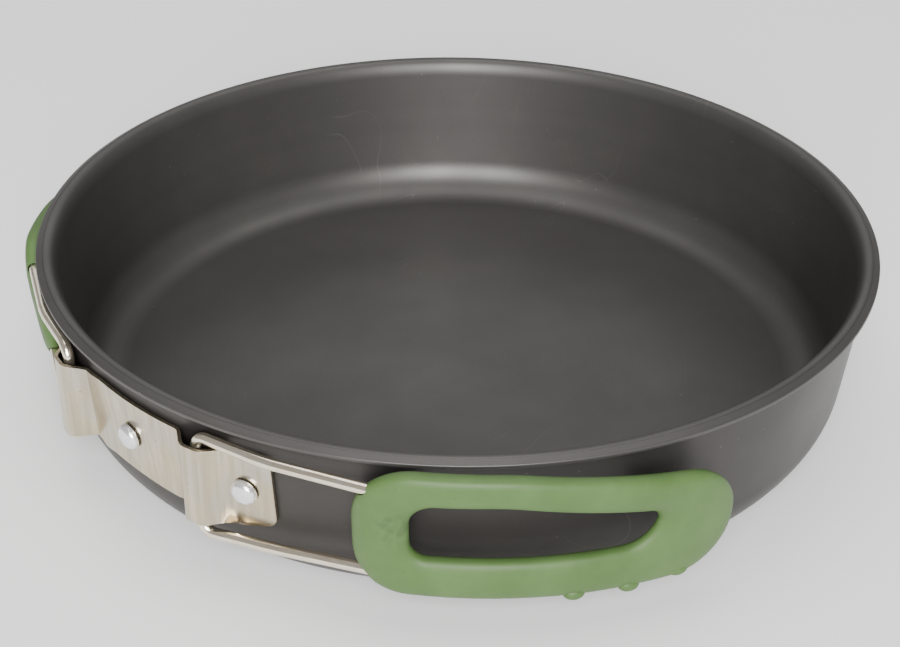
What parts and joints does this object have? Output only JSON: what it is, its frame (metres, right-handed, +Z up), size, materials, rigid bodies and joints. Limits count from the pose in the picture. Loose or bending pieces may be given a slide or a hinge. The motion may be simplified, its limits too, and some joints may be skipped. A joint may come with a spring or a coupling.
{
  "type": "folding-handle camping frying pan",
  "caption": "Shallow round hard-anodised frying pan with a riveted hinge bracket and folding wire loop handles with moulded rubber grips.",
  "frame": {"origin": "on the pan's axis, at the underside of its flat base", "axes": "+Z up along the pan's axis, -Y towards the middle of the hinge bracket, +X to the right of the bracket as seen from the pan's axis facing away from it, so that the right handle folds towards +X"},
  "size_m": [0.203, 0.2, 0.0414],
  "materials": {
    "hard_anodised_aluminium": "satin, hard-anodised dark grey",
    "brushed_stainless_steel": "satin",
    "bright_aluminium": "bright, as headed",
    "polished_stainless_wire": "polished",
    "green_silicone_rubber": "matte moulded"
  },
  "bodies": {
    "pan": {"pan_body": "hard_anodised_aluminium", "hinge_bracket": "brushed_stainless_steel", "rivet_left": "bright_aluminium", "rivet_centre": "bright_aluminium", "rivet_right": "bright_aluminium"},
    "left_handle": {"handle_wire_left": "polished_stainless_wire", "grip_left": "green_silicone_rubber"},
    "right_handle": {"handle_wire_right": "polished_stainless_wire", "grip_right": "green_silicone_rubber"}
  },
  "joints": [
    {"name": "left_handle_hinge", "type": "hinge", "parent": "pan", "child": "left_handle", "pos_m": [-0.02257, -0.09701, 0.0238], "axis": [0, 0, 1], "range_deg": [0, 138.5]},
    {"name": "right_handle_hinge", "type": "hinge", "parent": "pan", "child": "right_handle", "pos_m": [0.02257, -0.09701, 0.0238], "axis": [0, 0, -1], "range_deg": [-2, 135]}
  ]
}
